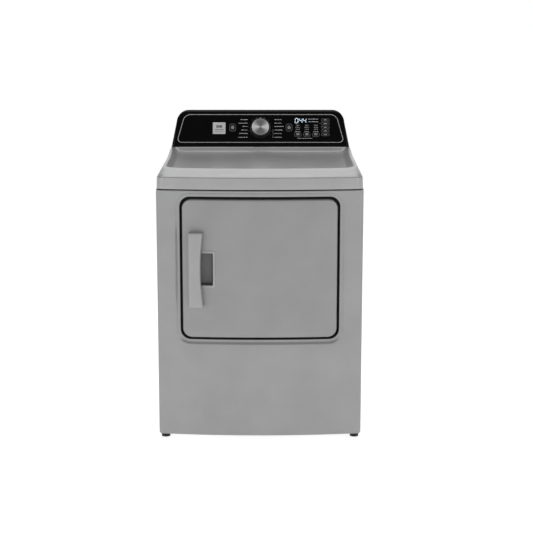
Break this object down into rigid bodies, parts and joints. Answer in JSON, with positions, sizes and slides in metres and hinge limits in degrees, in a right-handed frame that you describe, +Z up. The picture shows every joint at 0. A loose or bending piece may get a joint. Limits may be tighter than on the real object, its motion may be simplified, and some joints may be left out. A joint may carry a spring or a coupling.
{
  "type": "clothes dryer",
  "caption": "Freestanding front-loading tumble dryer with a bowed front, side-hinged door, bar handle over a finger cup, recessed top and sloped rear control console.",
  "frame": {"origin": "on the floor under the centre of the overall bounding box", "axes": "+Z up, the door faces -Y, +X to the right seen from the front"},
  "size_m": [0.686, 0.7636, 1.067],
  "materials": {
    "grey_paint": "satin powder coat",
    "grey_plastic": "satin",
    "dark_plastic": "matte",
    "black_gloss": "piano gloss",
    "zinc_steel": "zinc-coated, dull",
    "drum_steel": "smooth",
    "trim_steel": "spun and brushed",
    "white_plastic": "satin",
    "rubber": "matte",
    "felt": "felted wool",
    "cast_metal": "painted casting",
    "board": "solder mask"
  },
  "bodies": {
    "cabinet": {"base_pan": "zinc_steel", "left_side_panel": "grey_paint", "right_side_panel": "grey_paint", "front_panel": "grey_paint", "rear_panel": "zinc_steel", "top_cover": "grey_paint", "terminal_cover": "zinc_steel", "exhaust_duct": "zinc_steel", "front_bulkhead": "zinc_steel", "rear_bulkhead": "zinc_steel", "front_drum_seal": "felt", "rear_drum_seal": "felt", "heater_box": "zinc_steel", "heating_element": "cast_metal", "lint_duct": "white_plastic", "blower_housing": "white_plastic", "motor": "cast_metal", "drive_belt": "rubber", "idler_spring": "trim_steel", "door_catch": "dark_plastic", "hinge_frame": "zinc_steel", "console_housing": "grey_plastic", "console_fascia": "black_gloss", "console_trim": "trim_steel", "badge_plate": "trim_steel", "control_board": "board"},
    "door": {"door_outer_panel": "grey_paint", "door_inner_panel": "white_plastic", "door_seal": "rubber", "door_handle": "grey_plastic", "handle_cup": "grey_plastic", "door_strike": "zinc_steel", "door_hinge_plate": "zinc_steel"},
    "drum_body": {"drum": "drum_steel", "baffle_1": "white_plastic", "baffle_2": "white_plastic", "baffle_3": "white_plastic"},
    "motor_rotor": {"motor_shaft": "trim_steel", "blower_wheel": "dark_plastic"},
    "idler_arm_body": {"idler_arm": "zinc_steel"},
    "idler_pulley_body": {"idler_pulley": "dark_plastic"},
    "left_roller_body": {"left_drum_roller": "rubber"},
    "right_roller_body": {"right_drum_roller": "rubber"},
    "lint_filter_body": {"lint_filter": "white_plastic"},
    "knob_body": {"control_knob": "trim_steel"},
    "door_switch_body": {"door_switch_button": "white_plastic"},
    "power_key_body": {"power_key": "black_gloss"},
    "start_pause_key_body": {"start_pause_key": "black_gloss"},
    "dryness_key_body": {"dryness_key": "black_gloss"},
    "heat_key_body": {"heat_key": "black_gloss"},
    "time_key_body": {"time_key": "black_gloss"},
    "signal_key_body": {"signal_key": "black_gloss"},
    "light_key_body": {"light_key": "black_gloss"},
    "refresh_key_body": {"refresh_key": "black_gloss"},
    "delay_key_body": {"delay_key": "black_gloss"},
    "lock_key_body": {"lock_key": "black_gloss"},
    "front_left_foot_body": {"front_left_foot": "rubber"},
    "front_right_foot_body": {"front_right_foot": "rubber"},
    "rear_left_foot_body": {"rear_left_foot": "rubber"},
    "rear_right_foot_body": {"rear_right_foot": "rubber"}
  },
  "joints": [
    {"name": "door_hinge", "type": "hinge", "parent": "cabinet", "child": "door", "pos_m": [0.2485, -0.34021, 0.5955], "axis": [0, 0, 1], "range_deg": [0, 106]},
    {"name": "drum_turn", "type": "hinge", "parent": "cabinet", "child": "drum_body", "pos_m": [0, 0, 0.56], "axis": [0, 1, 0], "continuous": true},
    {"name": "motor_turn", "type": "hinge", "parent": "cabinet", "child": "motor_rotor", "pos_m": [0.12, 0, 0.13], "axis": [0, 1, 0], "continuous": true},
    {"name": "idler_arm_swing", "type": "hinge", "parent": "cabinet", "child": "idler_arm_body", "pos_m": [0.085, 0, 0.076], "axis": [0, 1, 0], "range_deg": [-16, 0], "stiffness_Nm_per_rad": 0.6, "springref_deg": 34.38},
    {"name": "idler_pulley_turn", "type": "hinge", "parent": "idler_arm_body", "child": "idler_pulley_body", "pos_m": [0.06, 0, 0.15], "axis": [0, 1, 0], "continuous": true},
    {"name": "left_roller_turn", "type": "hinge", "parent": "cabinet", "child": "left_roller_body", "pos_m": [-0.20213, 0, 0.27133], "axis": [0, 1, 0], "continuous": true},
    {"name": "right_roller_turn", "type": "hinge", "parent": "cabinet", "child": "right_roller_body", "pos_m": [0.20213, 0, 0.27133], "axis": [0, 1, 0], "continuous": true},
    {"name": "lint_filter_lift", "type": "slide", "parent": "cabinet", "child": "lint_filter_body", "axis": [0, 0, 1], "range_m": [0, 0.19]},
    {"name": "knob_turn", "type": "hinge", "parent": "cabinet", "child": "knob_body", "pos_m": [0, 0.24247, 0.99992], "axis": [0, -0.8988, 0.4384], "continuous": true},
    {"name": "door_switch_press", "type": "slide", "parent": "cabinet", "child": "door_switch_body", "axis": [0, 1, 0], "range_m": [0, 0.003], "stiffness_N_per_m": 300, "springref_m": -0.003},
    {"name": "power_key_press", "type": "slide", "parent": "cabinet", "child": "power_key_body", "axis": [0, 0.8988, -0.4384], "range_m": [0, 0.001], "stiffness_N_per_m": 1200, "springref_m": -0.001},
    {"name": "start_pause_key_press", "type": "slide", "parent": "cabinet", "child": "start_pause_key_body", "axis": [0, 0.8988, -0.4384], "range_m": [0, 0.001], "stiffness_N_per_m": 1200, "springref_m": -0.001},
    {"name": "dryness_key_press", "type": "slide", "parent": "cabinet", "child": "dryness_key_body", "axis": [0, 0.8988, -0.4384], "range_m": [0, 0.001], "stiffness_N_per_m": 1200, "springref_m": -0.001},
    {"name": "heat_key_press", "type": "slide", "parent": "cabinet", "child": "heat_key_body", "axis": [0, 0.8988, -0.4384], "range_m": [0, 0.001], "stiffness_N_per_m": 1200, "springref_m": -0.001},
    {"name": "time_key_press", "type": "slide", "parent": "cabinet", "child": "time_key_body", "axis": [0, 0.8988, -0.4384], "range_m": [0, 0.001], "stiffness_N_per_m": 1200, "springref_m": -0.001},
    {"name": "signal_key_press", "type": "slide", "parent": "cabinet", "child": "signal_key_body", "axis": [0, 0.8988, -0.4384], "range_m": [0, 0.001], "stiffness_N_per_m": 1200, "springref_m": -0.001},
    {"name": "light_key_press", "type": "slide", "parent": "cabinet", "child": "light_key_body", "axis": [0, 0.8988, -0.4384], "range_m": [0, 0.001], "stiffness_N_per_m": 1200, "springref_m": -0.001},
    {"name": "refresh_key_press", "type": "slide", "parent": "cabinet", "child": "refresh_key_body", "axis": [0, 0.8988, -0.4384], "range_m": [0, 0.001], "stiffness_N_per_m": 1200, "springref_m": -0.001},
    {"name": "delay_key_press", "type": "slide", "parent": "cabinet", "child": "delay_key_body", "axis": [0, 0.8988, -0.4384], "range_m": [0, 0.001], "stiffness_N_per_m": 1200, "springref_m": -0.001},
    {"name": "lock_key_press", "type": "slide", "parent": "cabinet", "child": "lock_key_body", "axis": [0, 0.8988, -0.4384], "range_m": [0, 0.001], "stiffness_N_per_m": 1200, "springref_m": -0.001},
    {"name": "front_left_foot_screw", "type": "slide", "parent": "cabinet", "child": "front_left_foot_body", "axis": [0, 0, -1], "range_m": [0, 0.02]},
    {"name": "front_right_foot_screw", "type": "slide", "parent": "cabinet", "child": "front_right_foot_body", "axis": [0, 0, -1], "range_m": [0, 0.02]},
    {"name": "rear_left_foot_screw", "type": "slide", "parent": "cabinet", "child": "rear_left_foot_body", "axis": [0, 0, -1], "range_m": [0, 0.02]},
    {"name": "rear_right_foot_screw", "type": "slide", "parent": "cabinet", "child": "rear_right_foot_body", "axis": [0, 0, -1], "range_m": [0, 0.02]}
  ],
  "couplings": [
    {"joint": "motor_turn", "follows": "drum_turn", "ratio": 31.6},
    {"joint": "idler_pulley_turn", "follows": "drum_turn", "ratio": -12.64},
    {"joint": "left_roller_turn", "follows": "drum_turn", "ratio": -8.7778},
    {"joint": "right_roller_turn", "follows": "drum_turn", "ratio": -8.7778}
  ]
}
